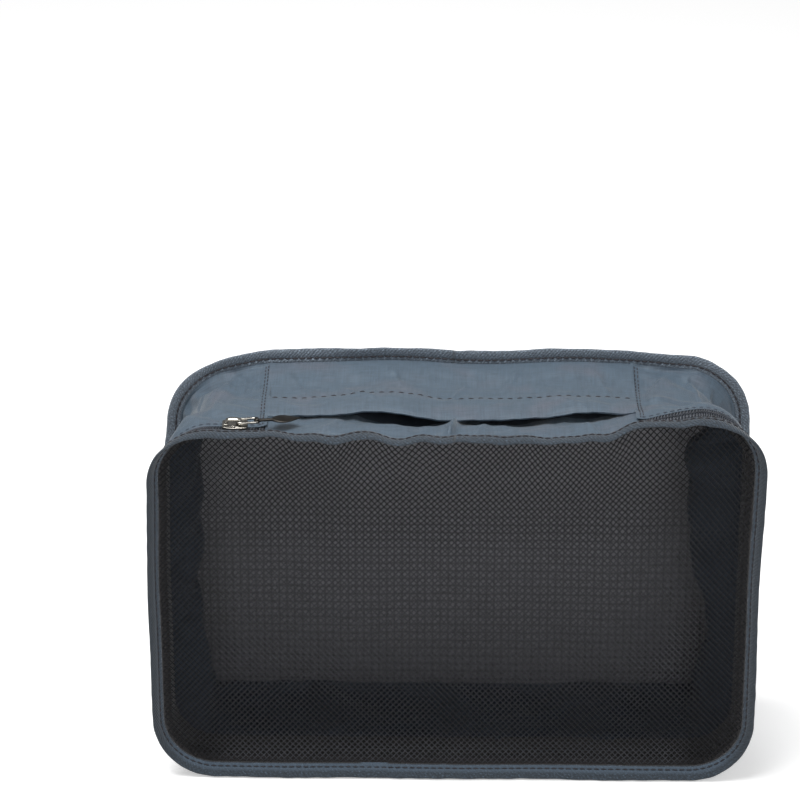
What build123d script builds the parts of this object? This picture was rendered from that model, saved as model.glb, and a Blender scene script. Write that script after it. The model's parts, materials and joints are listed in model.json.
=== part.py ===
"""Soft packing cube with a zipped mesh lid, standing on its long lower side.

Frame: +Z up, X along the width, -Y towards the lid. The origin is the middle of the standing base.
Every sewn piece follows one rounded outline in the XZ plane. A cross-section is drawn as (y, inset) points,
where inset is the distance inwards from that outline, and swept along it. All sizes are millimetres.
"""

import os
from math import cos, radians, sin

from build123d import *

# Envelope
WIDTH = 280.0
HEIGHT = 184.0
DEPTH = 80.0
CORNER_RADIUS = 30.0
FRONT_Y = -DEPTH / 2
BACK_Y = DEPTH / 2

# Cloth
FABRIC = 0.6  # nylon, net and zip tape all model as this thick
BINDING_WALL = 0.5
BINDING_WIDTH = 7.0
BINDING_THICKNESS = 2 * (FABRIC + BINDING_WALL)
THREAD = 0.4
SKIN_GAP = 0.01  # keeps a thread just clear of the cloth it lies on
LAYER_GAP = 0.02  # between layers of cloth sewn together
EDGE_GAP = 0.1  # between the edge of a cloth and what surrounds it
CLEARANCE = 0.3  # between pieces that move past each other
STITCH_MARGIN = 2.0  # thread line to the tape's inner edge

# Front flange: the lid's bound seam leans forwards
FLANGE_LEAN = radians(45)
ALONG = Vector(-sin(FLANGE_LEAN), -cos(FLANGE_LEAN))  # (y, inset) direction, seam to free edge
ACROSS = Vector(-cos(FLANGE_LEAN), sin(FLANGE_LEAN))  # (y, inset) direction, towards the net
SEAM = Vector(
    FRONT_Y - BINDING_WIDTH * ALONG.X - BINDING_THICKNESS / 2 * ACROSS.X,
    -BINDING_WIDTH * ALONG.Y + BINDING_THICKNESS / 2 * ACROSS.Y,
)

# Gusset and zip, as insets and y positions
GUSSET_INSET = 8.8
TAPE_INSET = GUSSET_INSET + FABRIC
BODY_TAPE_INSET = TAPE_INSET + SKIN_GAP + LAYER_GAP  # under the gusset
ZIP_Y = -29.0  # centre line of the zip
FOLD_Y = -27.2  # the line the lid folds on, between the ends of the zip
COIL_WIDTH = 2.6
COIL_GAP = 0.8  # between the two rows
COIL_HEIGHT = 2.0
GUSSET_EDGE_Y = -23.9  # the gusset's folded edge covers the rest of the zip tape
TAPE_END_Y = -17.5
FLAT_END_Y = -13.0  # the gusset is flat to here, then sinks into a shallow waist
WAIST_Y, WAIST_INSET = 12.0, 10.3
BACK_WEB_INSET = BINDING_WIDTH + CLEARANCE
LIP_Y = BACK_Y - BINDING_WALL - 2 * FABRIC  # where the gusset turns out into the back seam
STITCH_END_Y = BACK_Y - BINDING_THICKNESS - CLEARANCE
HINGE_HALF = 86.0  # the zip stops this far each side of the middle
STRIP_SETBACK = 1.7  # from the lid's seam line to the front of the hinge strip
STRIP_FRONT_Y = SEAM.X + STRIP_SETBACK

# Handle
HANDLE_HALF = 85.0
HANDLE_FRONT_Y = -14.0
HANDLE_BACK_Y = 36.0
HANDLE_THICKNESS = 1.2
HEM_DEPTH = 20.0
HEM_END = 1.0  # the hem stitching stops this far from each end
END_SEAM_X = (86.8, 88.2)

# Zip slider, with its middle at (SLIDER_X, ZIP_Y)
SLIDER_X = -98.5
SLIDER_TRAVEL = 8.0  # along the straight of the top edge
SLIDER_LENGTH = 11.5
SLIDER_WIDTH = 8.6
SLIDER_WAIST = 7.6
PLATE = 1.2
SLIDER_ROUND = 1.0
SHOULDER = 0.45  # where the plates reach full width, as a share of half the length
PLATE_ROUND = 0.45
CHANNEL_WIDTH = 2 * COIL_WIDTH + COIL_GAP + 2 * CLEARANCE
RAIL_GAP = 0.5  # from the tape to the side rails
POST_LENGTH = 3.0
POST_WIDTH = 0.5
POST_SETBACK = 2.2  # from the shoulder end to the middle of the post
CROWN_LENGTH = 7.2
CROWN_WIDTH = 1.4
CROWN_BAR = 1.1
CROWN_OPENING = 1.9
CROWN_ROUND = 1.5
CROWN_SINK = 0.1  # into the top plate
CROWN_OFFSET = 0.6  # from the slider's middle towards the closed teeth
CROWN_X = SLIDER_X - CROWN_OFFSET

# Cut-out in the lid's zip, so that the lid can swing past the parked slider
NOTCH_CLEAR_X = 0.8
NOTCH_CLEAR_Y = 1.2
NOTCH_START_X = SLIDER_X - SLIDER_TRAVEL - SLIDER_LENGTH / 2 - NOTCH_CLEAR_X
NOTCH_WIDTH = SLIDER_WIDTH / 2 + NOTCH_CLEAR_Y

# Pull: a wire link through the crown, and a leaf-shaped tab on the link
PULL_YAW = 14.0
LINK_PITCH = 3.0
TAB_PITCH = 3.0
LINK_LENGTH = 9.0  # between the middles of its two end wires
LINK_BEND = 1.2
WIRE_R = 0.6
LINK_INSIDE = 3.6
BARREL_R = 1.35
BARREL_LENGTH = 3.2
BORE_R = WIRE_R + 0.08
LINK_AHEAD = 1.6  # from the middle of the crown to the link's pivot
LINK_RISE = 1.1  # from the top plate to that pivot
TAB_THICKNESS = 1.4
NECK_WIDTH = 2.0
NECK_LENGTH = 8.0
LEAF_LENGTH = 11.5
LEAF_WIDTH = 8.0
LEAF_OVERLAP = 1.0  # the leaf starts this far before the end of the neck
LEAF_SHOULDER = 3.4  # from the start of the leaf to its widest point
LEAF_TAPER = 3.0  # from the tip to the point where the leaf is LEAF_TAPER_WIDTH across
LEAF_TAPER_WIDTH = 0.6 * LEAF_WIDTH

TAPE_Z = HEIGHT - TAPE_INSET  # outer face of the zip tape along the top
CHANNEL_FLOOR = TAPE_Z - FABRIC - CLEARANCE
CHANNEL_ROOF = TAPE_Z + COIL_HEIGHT + CLEARANCE
PLATE_TOP = CHANNEL_ROOF + PLATE
LINK_PIVOT = (CROWN_X + LINK_AHEAD, ZIP_Y, PLATE_TOP + LINK_RISE)

os.makedirs("parts", exist_ok=True)


def save(builder, name):
    """Labels a finished piece and writes it as one STEP file."""
    builder.part.label = name
    export_step(builder.part, f"parts/{name}.step")


def outline(start_x, end_x):
    """The outer outline, clockwise seen from the lid, from the top edge at start_x round to end_x."""
    side, straight_x, straight_z = WIDTH / 2, WIDTH / 2 - CORNER_RADIUS, HEIGHT - CORNER_RADIUS
    r = CORNER_RADIUS
    with BuildLine(Plane.XZ) as path:
        Line((start_x, HEIGHT), (straight_x, HEIGHT))
        RadiusArc((straight_x, HEIGHT), (side, straight_z), r)
        Line((side, straight_z), (side, r))
        RadiusArc((side, r), (straight_x, 0), r)
        Line((straight_x, 0), (-straight_x, 0))
        RadiusArc((-straight_x, 0), (-side, r), r)
        Line((-side, r), (-side, straight_z))
        RadiusArc((-side, straight_z), (-straight_x, HEIGHT), r)
        Line((-straight_x, HEIGHT), (end_x, HEIGHT))
    return path.wire()


def section_plane(x):
    """Plane across the top edge at x, where a point (y, -inset) is drawn in place."""
    return Plane(origin=(x, 0, HEIGHT), x_dir=(0, 1, 0), z_dir=(1, 0, 0))


def drawn(points):
    """(y, inset) points as sketch coordinates."""
    return [(p[0], -p[1]) for p in points]


def flange_point(along, across):
    """A point in the leaning front flange, as (y, inset)."""
    p = SEAM + ALONG * along + ACROSS * across
    return (p.X, p.Y)


def flange_bar(start, end, low, high):
    """Corners of a bar in the flange, from start to end along it and low to high across it."""
    return [
        flange_point(start, low),
        flange_point(end, low),
        flange_point(end, high),
        flange_point(start, high),
    ]


def bar(y_low, y_high, inset_low, inset_high):
    """Corners of an upright rectangle in the cross-section."""
    return [(y_low, inset_low), (y_high, inset_low), (y_high, inset_high), (y_low, inset_high)]


FULL_RING = outline(0, 0)
ZIP_RUN = outline(HINGE_HALF, -HINGE_HALF)


def swept(sections, path, start_x):
    """Sweeps each closed (y, inset) outline in sections along path, inside the current part."""
    for points in sections:
        with BuildSketch(section_plane(start_x)) as face:
            with BuildLine():
                Polyline(*drawn(points), close=True)
            make_face()
        sweep(sections=face.sketch, path=path)


def gusset_curve(front_y, rise):
    """Points of the gusset's line, rise above it: front_y, end of the flat, waist, back seam."""
    return drawn(
        [
            (front_y, GUSSET_INSET - rise),
            (FLAT_END_Y, GUSSET_INSET - rise),
            (WAIST_Y, WAIST_INSET - rise),
            (LIP_Y, BACK_WEB_INSET - rise),
        ]
    )


def top_strip(start_x, front_y, rise, thickness):
    """Section at start_x of a strip that runs from front_y to the back seam, rise above the gusset."""
    low = gusset_curve(front_y, rise)
    high = gusset_curve(front_y, rise + thickness)
    with BuildSketch(section_plane(start_x)) as face:
        with BuildLine():
            Line(low[0], low[1])
            ThreePointArc(low[1], low[2], low[3])
            Line(low[3], high[3])
            ThreePointArc(high[3], high[2], high[1])
            Polyline(high[1], high[0], low[0])
        make_face()
    return face.sketch


def gusset_section(start_x, front_y):
    """Section at start_x of the gusset: flat by the zip, a shallow waist, then a lip into the back seam."""
    outer = gusset_curve(front_y, 0)
    inner = gusset_curve(front_y, -FABRIC)
    lip_inset = BINDING_WALL + 2 * EDGE_GAP
    lip_top, lip_end = drawn([(LIP_Y, lip_inset), (LIP_Y + FABRIC, lip_inset)])
    heel = (LIP_Y + FABRIC, inner[3][1])
    with BuildSketch(section_plane(start_x)) as face:
        with BuildLine():
            Line(outer[0], outer[1])
            ThreePointArc(outer[1], outer[2], outer[3])
            Polyline(outer[3], lip_top, lip_end, heel, inner[3])
            ThreePointArc(inner[3], inner[2], inner[1])
            Polyline(inner[1], inner[0], outer[0])
        make_face()
    return face.sketch


# ---------------------------------------------------------------- shell of the bag

with BuildPart() as back_panel:
    with BuildSketch(Plane.XZ.offset(-(BACK_Y - BINDING_WALL))):
        margin = 2 * (BINDING_WALL + EDGE_GAP)
        with Locations((0, HEIGHT / 2)):
            RectangleRounded(WIDTH - margin, HEIGHT - margin, CORNER_RADIUS - margin / 2)
    extrude(amount=FABRIC)
save(back_panel, "back_panel")

with BuildPart() as back_binding:
    inner_y, outer_y = BACK_Y - BINDING_THICKNESS, BACK_Y
    swept(
        [
            [
                (inner_y, BINDING_WIDTH),
                (inner_y, 0),
                (outer_y, 0),
                (outer_y, BINDING_WIDTH),
                (outer_y - BINDING_WALL, BINDING_WIDTH),
                (outer_y - BINDING_WALL, BINDING_WALL),
                (inner_y + BINDING_WALL, BINDING_WALL),
                (inner_y + BINDING_WALL, BINDING_WIDTH),
            ]
        ],
        FULL_RING,
        0,
    )
save(back_binding, "back_binding")

with BuildPart() as back_binding_thread:
    thread_y = BACK_Y - BINDING_THICKNESS - SKIN_GAP
    thread_inset = BINDING_WIDTH - STITCH_MARGIN
    swept([bar(thread_y - THREAD, thread_y, thread_inset, thread_inset + THREAD)], FULL_RING, 0)
save(back_binding_thread, "back_binding_thread")

with BuildPart() as gusset_band:
    start_x = HINGE_HALF + EDGE_GAP
    sweep(sections=gusset_section(start_x, GUSSET_EDGE_Y), path=outline(start_x, -start_x))
save(gusset_band, "gusset_band")

with BuildPart() as hinge_panel:
    extrude(gusset_section(-HINGE_HALF, FOLD_Y + CLEARANCE), amount=2 * HINGE_HALF)
save(hinge_panel, "hinge_panel")

for side, name in ((-1, "left"), (1, "right")):
    with BuildPart() as end_seam_thread:
        for seam_x in END_SEAM_X:
            strip = top_strip(side * seam_x - THREAD / 2, GUSSET_EDGE_Y, SKIN_GAP, THREAD)
            extrude(strip, amount=THREAD)
        split(bisect_by=Plane.XZ.offset(-STITCH_END_Y), keep=Keep.TOP)
    save(end_seam_thread, f"end_seam_thread_{name}")

# ---------------------------------------------------------------- zip, body side

with BuildPart() as zip_tape_body:
    swept(
        [bar(ZIP_Y + COIL_GAP / 2, TAPE_END_Y, BODY_TAPE_INSET, BODY_TAPE_INSET + FABRIC)],
        ZIP_RUN,
        HINGE_HALF,
    )
save(zip_tape_body, "zip_tape_body")

with BuildPart() as zip_coil_body:
    row = ZIP_Y + COIL_GAP / 2
    foot = BODY_TAPE_INSET - SKIN_GAP
    swept([bar(row, row + COIL_WIDTH, TAPE_INSET - COIL_HEIGHT, foot)], ZIP_RUN, HINGE_HALF)
save(zip_coil_body, "zip_coil_body")

with BuildPart() as zip_seam_thread:
    seam_inset = BODY_TAPE_INSET + FABRIC + SKIN_GAP
    seam_y = (GUSSET_EDGE_Y + TAPE_END_Y) / 2
    swept([bar(seam_y, seam_y + THREAD, seam_inset, seam_inset + THREAD)], ZIP_RUN, HINGE_HALF)
save(zip_seam_thread, "zip_seam_thread")

# ---------------------------------------------------------------- lid

with BuildPart() as mesh_panel:
    net_end = BINDING_WIDTH - BINDING_WALL - EDGE_GAP
    net_back_y = SEAM.X - LAYER_GAP
    net_inset = SEAM.Y + FABRIC + EDGE_GAP
    with BuildSketch(Plane.XZ.offset(-net_back_y)):
        with Locations((0, HEIGHT / 2)):
            RectangleRounded(WIDTH - 2 * net_inset, HEIGHT - 2 * net_inset, CORNER_RADIUS - net_inset)
    extrude(amount=FABRIC)
    swept(
        [
            [
                flange_point(net_end, LAYER_GAP),
                flange_point(net_end, FABRIC - LAYER_GAP),
                flange_point(-EDGE_GAP, FABRIC - LAYER_GAP),
                (net_back_y - FABRIC, net_inset),
                (net_back_y, net_inset),
                flange_point(0, LAYER_GAP),
            ]
        ],
        FULL_RING,
        0,
    )
save(mesh_panel, "mesh_panel")

with BuildPart() as front_binding:
    half = BINDING_THICKNESS / 2
    channel = half - BINDING_WALL
    swept(
        [
            [
                flange_point(0, -half),
                flange_point(BINDING_WIDTH, -half),
                flange_point(BINDING_WIDTH, half),
                flange_point(0, half),
                flange_point(0, channel),
                flange_point(BINDING_WIDTH - BINDING_WALL, channel),
                flange_point(BINDING_WIDTH - BINDING_WALL, -channel),
                flange_point(0, -channel),
            ]
        ],
        FULL_RING,
        0,
    )
save(front_binding, "front_binding")

with BuildPart() as front_binding_thread:
    half = BINDING_THICKNESS / 2 + SKIN_GAP
    swept(
        [
            flange_bar(STITCH_MARGIN, STITCH_MARGIN + THREAD, half, half + THREAD),
            flange_bar(STITCH_MARGIN, STITCH_MARGIN + THREAD, -half - THREAD, -half),
        ],
        FULL_RING,
        0,
    )
save(front_binding_thread, "front_binding_thread")

with BuildPart() as slider_notch:
    with Locations(((NOTCH_START_X - HINGE_HALF) / 2, ZIP_Y - NOTCH_WIDTH / 2, TAPE_Z)):
        Box(-NOTCH_START_X - HINGE_HALF, NOTCH_WIDTH, 4 * COIL_HEIGHT)

with BuildPart() as zip_tape_lid:
    sewn_end = BINDING_WIDTH - BINDING_WALL - EDGE_GAP
    bend = EDGE_GAP / 2
    swept(
        [
            [
                flange_point(sewn_end, -LAYER_GAP),
                flange_point(sewn_end, LAYER_GAP - FABRIC),
                flange_point(-bend, LAYER_GAP - FABRIC),
                (SEAM.X + FABRIC, TAPE_INSET),
                (ZIP_Y - COIL_GAP / 2, TAPE_INSET),
                (ZIP_Y - COIL_GAP / 2, TAPE_INSET + FABRIC),
                (SEAM.X + bend, TAPE_INSET + FABRIC),
                flange_point(-bend, -LAYER_GAP),
            ]
        ],
        ZIP_RUN,
        HINGE_HALF,
    )
    add(slider_notch.part, mode=Mode.SUBTRACT)
save(zip_tape_lid, "zip_tape_lid")

with BuildPart() as zip_coil_lid:
    row = ZIP_Y - COIL_GAP / 2
    foot = TAPE_INSET - SKIN_GAP
    swept([bar(row - COIL_WIDTH, row, TAPE_INSET - COIL_HEIGHT, foot)], ZIP_RUN, HINGE_HALF)
    add(slider_notch.part, mode=Mode.SUBTRACT)
save(zip_coil_lid, "zip_coil_lid")

with BuildPart() as hinge_strip:
    with BuildSketch(Plane.XY.offset(HEIGHT - GUSSET_INSET - FABRIC)):
        with Locations((0, (STRIP_FRONT_Y + FOLD_Y) / 2)):
            Rectangle(2 * (HINGE_HALF - CLEARANCE), FOLD_Y - STRIP_FRONT_Y)
    extrude(amount=FABRIC)
save(hinge_strip, "hinge_strip")

# ---------------------------------------------------------------- handle

with BuildPart() as handle_band:
    strip = top_strip(-HANDLE_HALF, HANDLE_FRONT_Y, CLEARANCE, HANDLE_THICKNESS)
    extrude(strip, amount=2 * HANDLE_HALF)
    split(bisect_by=Plane.XZ.offset(-HANDLE_BACK_Y), keep=Keep.TOP)
save(handle_band, "handle_band")

with BuildPart() as handle_hem_thread:
    rise = CLEARANCE + HANDLE_THICKNESS + SKIN_GAP
    hem_half = HANDLE_HALF - HEM_END
    extrude(top_strip(-hem_half, HANDLE_FRONT_Y, rise, THREAD), amount=2 * hem_half)
    with Locations((0, HANDLE_FRONT_Y + HEM_DEPTH, HEIGHT)):
        Box(WIDTH, THREAD, HEIGHT, mode=Mode.INTERSECT)
save(handle_hem_thread, "handle_hem_thread")

# ---------------------------------------------------------------- slider and pull


def slider_outline(z):
    """The slider's plan at height z: wide shoulders at the hinge end, narrower where closed teeth leave."""
    half_length = SLIDER_LENGTH / 2
    with BuildSketch(Plane((SLIDER_X, ZIP_Y, z))) as plan:
        with BuildLine():
            Polyline(
                (-half_length, -SLIDER_WAIST / 2),
                (0, -SLIDER_WAIST / 2),
                (half_length * SHOULDER, -SLIDER_WIDTH / 2),
                (half_length, -SLIDER_WIDTH / 2),
                (half_length, SLIDER_WIDTH / 2),
                (half_length * SHOULDER, SLIDER_WIDTH / 2),
                (0, SLIDER_WAIST / 2),
                (-half_length, SLIDER_WAIST / 2),
                close=True,
            )
        make_face()
        fillet(plan.vertices(), SLIDER_ROUND)
    return plan.sketch


with BuildPart() as slider_body:
    for floor in (CHANNEL_FLOOR - PLATE, CHANNEL_ROOF):
        extrude(slider_outline(floor), amount=PLATE)
    rail_foot = TAPE_Z + RAIL_GAP
    extrude(slider_outline(rail_foot), amount=CHANNEL_ROOF - rail_foot)
    with Locations((SLIDER_X, ZIP_Y, (CHANNEL_FLOOR + CHANNEL_ROOF) / 2)):
        Box(2 * SLIDER_LENGTH, CHANNEL_WIDTH, CHANNEL_ROOF - CHANNEL_FLOOR, mode=Mode.SUBTRACT)
    with BuildSketch(Plane((SLIDER_X + SLIDER_LENGTH / 2 - POST_SETBACK, ZIP_Y, CHANNEL_FLOOR))):
        Rectangle(POST_LENGTH, POST_WIDTH)
    extrude(amount=CHANNEL_ROOF - CHANNEL_FLOOR)
    fillet(slider_body.faces().sort_by(Axis.Z)[-1].edges(), PLATE_ROUND)
    crown_plane = Plane((CROWN_X, ZIP_Y, PLATE_TOP - CROWN_SINK), x_dir=(1, 0, 0), z_dir=(0, -1, 0))
    with BuildSketch(crown_plane) as arch:
        opening = CROWN_OPENING + CROWN_SINK
        total = opening + CROWN_BAR
        with Locations((0, total / 2)):
            Rectangle(CROWN_LENGTH, total)
        fillet(arch.vertices().group_by(Axis.Z)[-1], CROWN_ROUND)
        with Locations((0, opening / 2)):
            Rectangle(CROWN_LENGTH - 2 * CROWN_BAR, opening, mode=Mode.SUBTRACT)
    extrude(amount=CROWN_WIDTH / 2, both=True)
save(slider_body, "slider_body")


def pull_plane(pivot, pitch):
    """Plane through pivot with x along the pull, tipped down by pitch, and y along the pivot's axis."""
    return Plane(pivot).rotated((0, 0, PULL_YAW)).rotated((0, pitch, 0))


link_plane = pull_plane(LINK_PIVOT, LINK_PITCH)
tab_plane = pull_plane(link_plane.from_local_coords((LINK_LENGTH, 0, 0)), TAB_PITCH)

with BuildPart() as pull_link:
    reach = LINK_INSIDE / 2 + WIRE_R
    b = LINK_BEND
    with BuildLine(link_plane) as loop:
        Line((LINK_LENGTH / 2, -reach), (LINK_LENGTH - b, -reach))
        RadiusArc((LINK_LENGTH - b, -reach), (LINK_LENGTH, b - reach), -b)
        Line((LINK_LENGTH, b - reach), (LINK_LENGTH, reach - b))
        RadiusArc((LINK_LENGTH, reach - b), (LINK_LENGTH - b, reach), -b)
        Line((LINK_LENGTH - b, reach), (b, reach))
        RadiusArc((b, reach), (0, reach - b), -b)
        Line((0, reach - b), (0, b - reach))
        RadiusArc((0, b - reach), (b, -reach), -b)
        Line((b, -reach), (LINK_LENGTH / 2, -reach))
    with BuildSketch(Plane(loop.wire() @ 0, z_dir=loop.wire() % 0)) as wire_section:
        Circle(WIRE_R)
    sweep(sections=wire_section.sketch, path=loop.wire())
save(pull_link, "pull_link")

with BuildPart() as pull_tab:
    with BuildSketch(tab_plane.offset(-TAB_THICKNESS / 2)) as tab_outline:
        leaf_start = NECK_LENGTH - LEAF_OVERLAP
        tip = NECK_LENGTH + LEAF_LENGTH
        with BuildLine():
            Line((0, -NECK_WIDTH / 2), (leaf_start, -NECK_WIDTH / 2))
            Spline(
                (leaf_start, -NECK_WIDTH / 2),
                (leaf_start + LEAF_SHOULDER, -LEAF_WIDTH / 2),
                (tip - LEAF_TAPER, -LEAF_TAPER_WIDTH / 2),
                (tip, 0),
                tangents=((1, 0), (0, 1)),
            )
            Spline(
                (tip, 0),
                (tip - LEAF_TAPER, LEAF_TAPER_WIDTH / 2),
                (leaf_start + LEAF_SHOULDER, LEAF_WIDTH / 2),
                (leaf_start, NECK_WIDTH / 2),
                tangents=((0, 1), (-1, 0)),
            )
            Line((leaf_start, NECK_WIDTH / 2), (0, NECK_WIDTH / 2))
            Line((0, NECK_WIDTH / 2), (0, -NECK_WIDTH / 2))
        make_face()
    extrude(amount=TAB_THICKNESS)
    barrel_axis = Plane(tab_plane.origin, x_dir=tab_plane.x_dir, z_dir=tab_plane.y_dir)
    with BuildSketch(barrel_axis):
        Circle(BARREL_R)
    extrude(amount=BARREL_LENGTH / 2, both=True)
    with BuildSketch(barrel_axis):
        Circle(BORE_R)
    extrude(amount=LINK_INSIDE, both=True, mode=Mode.SUBTRACT)
save(pull_tab, "pull_tab")
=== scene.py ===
"""Looks of the soft packing cube: cloth, net, bindings, coil zip and stitching, built round the CAD frame.

Lengths are millimetres until a mesh is made, when MM turns them into metres. Lights, the camera and
positions in materials are in metres. Cloth is laid out on grids (Sheet). On the gusset, u follows the rounded
outline clockwise from the middle of the top edge, and v runs from the lid to the back. The top cloth and the
handle use x and y.
"""

import json
import math

import bpy
import numpy as np
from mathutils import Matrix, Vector


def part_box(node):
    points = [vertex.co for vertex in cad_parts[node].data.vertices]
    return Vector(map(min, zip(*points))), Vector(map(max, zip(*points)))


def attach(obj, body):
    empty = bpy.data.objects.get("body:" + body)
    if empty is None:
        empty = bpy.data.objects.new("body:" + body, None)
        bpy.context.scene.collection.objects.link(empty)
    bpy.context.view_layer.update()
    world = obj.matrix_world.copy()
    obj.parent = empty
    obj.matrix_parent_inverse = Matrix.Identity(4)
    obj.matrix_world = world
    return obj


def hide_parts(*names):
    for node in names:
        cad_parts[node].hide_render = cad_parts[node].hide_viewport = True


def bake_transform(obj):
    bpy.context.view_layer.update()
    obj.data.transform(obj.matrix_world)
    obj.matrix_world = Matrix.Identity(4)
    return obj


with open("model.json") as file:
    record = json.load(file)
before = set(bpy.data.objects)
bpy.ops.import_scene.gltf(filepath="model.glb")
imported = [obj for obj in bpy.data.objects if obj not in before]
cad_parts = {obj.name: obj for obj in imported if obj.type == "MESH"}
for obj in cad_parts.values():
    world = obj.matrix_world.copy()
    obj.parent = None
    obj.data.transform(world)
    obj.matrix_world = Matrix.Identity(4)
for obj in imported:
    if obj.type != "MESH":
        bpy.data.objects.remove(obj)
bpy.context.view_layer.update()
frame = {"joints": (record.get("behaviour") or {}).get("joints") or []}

MM = 0.001


# ------------------------------------------------------------------ sizes from the frame


def corners(node):
    """Lowest and highest corner of a CAD node, in millimetres."""
    low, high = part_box(node)
    return np.array(low) / MM, np.array(high) / MM


def joint_point(name):
    joint = next(j for j in frame["joints"] if j["name"] == name)
    return np.array(joint["pos_m"]) / MM


FRONT_LOW, FRONT_HIGH = corners("front_binding")
BACK_LOW, BACK_HIGH = corners("back_binding")
_, STRIP_HIGH = corners("hinge_strip")
HANDLE_LOW, HANDLE_HIGH = corners("handle_band")
SLIDER_LOW, SLIDER_HIGH = corners("slider_body")
WIDTH = FRONT_HIGH[0] - FRONT_LOW[0]
HEIGHT = FRONT_HIGH[2] - FRONT_LOW[2]
RADIUS = 30.0  # of the outline's corners
BACK_Y = BACK_HIGH[1]
BACK_SEAM_Y = BACK_LOW[1] + 0.6
FOLD_Y = joint_point("lid_fold")[1]
FOLD_REACH = 6  # how far the cloth bends to each side of the fold
ZIP_Y = joint_point("link_swing")[1]
SEAM_Y = FRONT_HIGH[1] - 1.2
SEAM_INSET = 5.7
BINDING = 7.0  # width of the bound seams
TOP = STRIP_HIGH[2]  # height of the flat top cloth
GUSSET_INSET = HEIGHT - TOP
TAPE_INSET = GUSSET_INSET + 0.6
TAPE_GAP = 0.08  # from the zip's middle line to each tape
GUSSET_EDGE_Y = ZIP_Y + 5.1
TAPE_END_Y = ZIP_Y + 11.5
HINGE_HALF = STRIP_HIGH[0]
HANDLE_HALF = HANDLE_HIGH[0]
HANDLE_FREE = 12  # distance from the middle to where the handle moves in full
HEM = 19.0  # from the handle's free edge to its hem stitches
END_SEAMS = (86.8, 88.2)  # distances from the middle to the two stitch rows at each end of the handle
SLIDER_X = (SLIDER_LOW[0] + SLIDER_HIGH[0]) / 2
CLOTH = 0.35  # thickness of the nylon
LEFT_RIGHT = ((-1, "left"), (1, "right"))


# ------------------------------------------------------------------ outline, waves and cloth grids


def unit(vectors):
    return vectors / np.linalg.norm(vectors, axis=-1, keepdims=True)


def distances(path):
    """Distance of each point from the first, along the path."""
    return np.concatenate([[0], np.cumsum(np.linalg.norm(np.diff(path, axis=0), axis=1))])


def between(where, known, table):
    """Rows of a table known at some distances, read at others."""
    return np.stack([np.interp(where, known, column) for column in table.T], -1)


def outline_table():
    """Points, outward normals and distances round the outline, from the middle of the top, clockwise."""
    a, b, r = WIDTH / 2 - RADIUS, HEIGHT - RADIUS, RADIUS
    points, normals = [(0, HEIGHT)], [(0, 1)]
    for (cx, cz), first in (((a, b), 90), ((a, r), 0), ((-a, r), -90), ((-a, b), -180)):
        for angle in np.radians(np.linspace(first, first - 90, 25)):
            normals.append((math.cos(angle), math.sin(angle)))
            points.append((cx + r * math.cos(angle), cz + r * math.sin(angle)))
    points.append((0, HEIGHT))
    normals.append((0, 1))
    return np.array(points), np.array(normals), distances(points)


OUTLINE, OUTWARD, DISTANCE = outline_table()
PERIMETER = DISTANCE[-1]


def around(s):
    """(x, z) on the outline and the outward normal at distance s."""
    s = np.mod(s, PERIMETER)
    return between(s, DISTANCE, OUTLINE), unit(between(s, DISTANCE, OUTWARD))


def ring_points(s, y, inset):
    """Points at distance s round the outline, depth y and inset; the three broadcast together."""
    s, y, inset = np.broadcast_arrays(s, y, inset)
    point, normal = around(s)
    flat = point - normal * inset[..., None]
    return np.stack([flat[..., 0], y, flat[..., 1]], -1)


def smooth(t):
    t = np.clip(t, 0, 1)
    return t * t * (3 - 2 * t)


def ripple(u, v, length, seed):
    """Smooth, repeatable waves of about the given length, between -1 and 1."""
    random = np.random.default_rng(seed)
    total = 0
    for _ in range(5):
        angle, phase = random.uniform(0, 2 * math.pi, 2)
        pace = 2 * math.pi / length * random.uniform(0.6, 1.7)
        total = total + np.sin(pace * (u * math.cos(angle) + v * math.sin(angle)) + phase)
    return total / 5


def bump_at(u, centre, width):
    return np.exp(-(((u - centre) / width) ** 2))


def top_line(x):
    """How far the lid's loose top edge sits above its drawn height: slack in the middle, raised at right."""
    slack = -3.0 * bump_at(x, -12, 70) - 1.6 * bump_at(x, 50, 22)
    return slack - 0.6 + 8.5 * smooth((x - 48) / 76)


def crease(x, y, start, end, width, height):
    """A sharp-crested fold from start to end that fades out at both ends."""
    (x0, y0), (x1, y1) = start, end
    length = math.hypot(x1 - x0, y1 - y0)
    along = ((x - x0) * (x1 - x0) + (y - y0) * (y1 - y0)) / length
    off = ((x - x0) * (y1 - y0) - (y - y0) * (x1 - x0)) / length
    ends = smooth((along + width) / (0.3 * length)) * smooth((length + width - along) / (0.3 * length))
    side = np.where(off > 0, 1.0, 0.45)
    return height * ends * np.exp(-np.abs(off) / (width * side))


def slump(x, y, z):
    """The back's top corners, pulled in and down by the cloth; the left one further."""
    back = smooth((y + 12) / 50)
    high = smooth((z - 95) / 70)
    out = smooth((np.abs(x) - 80) / 50)
    left = x < 0
    corner = out * high * back
    dx = -np.sign(x) * corner * np.where(left, 5.0, 2.2)
    dz = -corner * np.where(left, 7.4, 3.4)
    return dx, dz


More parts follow.
